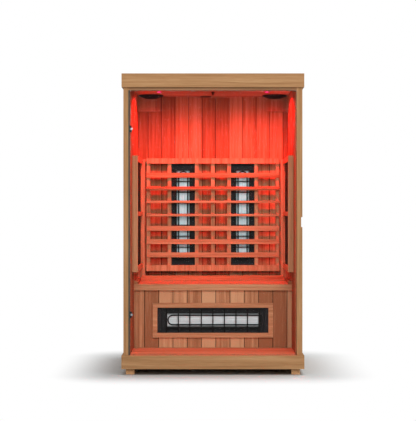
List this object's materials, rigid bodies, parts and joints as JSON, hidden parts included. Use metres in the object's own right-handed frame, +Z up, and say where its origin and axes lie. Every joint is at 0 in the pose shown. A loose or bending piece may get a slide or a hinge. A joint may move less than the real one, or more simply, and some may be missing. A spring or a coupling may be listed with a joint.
{
  "type": "infrared sauna cabin",
  "caption": "Upright wooden infrared sauna cabin with a glass front door, bench, slatted backrest, rod heaters and coloured ceiling lamps.",
  "frame": {"origin": "middle of the footprint, on the ground under the skids", "axes": "+Z up, front glass door towards -Y, +X to the right seen from the front"},
  "size_m": [1.2, 1.04, 1.992],
  "materials": {
    "pale_wood": "oiled fine straight grain, pale",
    "red_wood": "planed red cedar boards",
    "black_metal": "matt black",
    "black_plastic": "matt black",
    "reflector": "bright rolled sheet",
    "heater_rod": "dark oxide",
    "chrome": "polished",
    "rubber": "matt",
    "grey_metal": "plain coated",
    "lamp": "lit translucent lens",
    "glass": "clear tempered glass"
  },
  "bodies": {
    "cabin": {"skid_left": "pale_wood", "skid_right": "pale_wood", "plinth": "pale_wood", "post_left": "pale_wood", "post_right": "pale_wood", "header": "pale_wood", "roof_fascia": "pale_wood", "roof_top": "pale_wood", "floor_panel": "red_wood", "wall_left": "red_wood", "wall_right": "red_wood", "wall_back": "red_wood", "ceiling_panel": "red_wood", "corner_box_left": "red_wood", "corner_box_right": "red_wood", "vent_track": "red_wood", "seat": "red_wood", "seat_rail_back": "red_wood", "seat_rail_left": "red_wood", "seat_rail_right": "red_wood", "bench_front": "red_wood", "bench_heater_frame": "red_wood", "backrest_frame": "red_wood", "side_guard_left": "red_wood", "side_guard_right": "red_wood", "backrest_slat_1": "red_wood", "backrest_slat_2": "red_wood", "backrest_slat_3": "red_wood", "backrest_slat_4": "red_wood", "backrest_slat_5": "red_wood", "backrest_slat_6": "red_wood", "backrest_slat_7": "red_wood", "back_heater_left_housing": "black_metal", "back_heater_left_reflector": "reflector", "back_heater_left_rod": "heater_rod", "back_heater_left_grille": "heater_rod", "back_heater_right_housing": "black_metal", "back_heater_right_reflector": "reflector", "back_heater_right_rod": "heater_rod", "back_heater_right_grille": "heater_rod", "bench_heater_housing": "black_metal", "bench_heater_reflector": "reflector", "bench_heater_rod": "heater_rod", "bench_heater_grille": "heater_rod", "side_heater_left": "black_metal", "speaker_left": "black_plastic", "lamp_left": "lamp", "side_heater_right": "black_metal", "speaker_right": "black_plastic", "lamp_right": "lamp", "hinge_bracket_lower": "black_metal", "hinge_bracket_upper": "black_metal", "temperature_sensor": "black_plastic", "power_box": "grey_metal", "power_inlet": "black_plastic", "door_seal": "rubber"},
    "door": {"door_glass": "glass", "hinge_clamp_lower": "chrome", "hinge_clamp_upper": "chrome"},
    "vent_cover": {"vent_slide": "red_wood"}
  },
  "joints": [
    {"name": "door_hinge", "type": "hinge", "parent": "cabin", "child": "door", "pos_m": [-0.54, -0.482, 1], "axis": [0, 0, -1], "range_deg": [0, 95]},
    {"name": "vent_cover_slide", "type": "slide", "parent": "cabin", "child": "vent_cover", "axis": [-1, 0, 0], "range_m": [0, 0.08]}
  ]
}
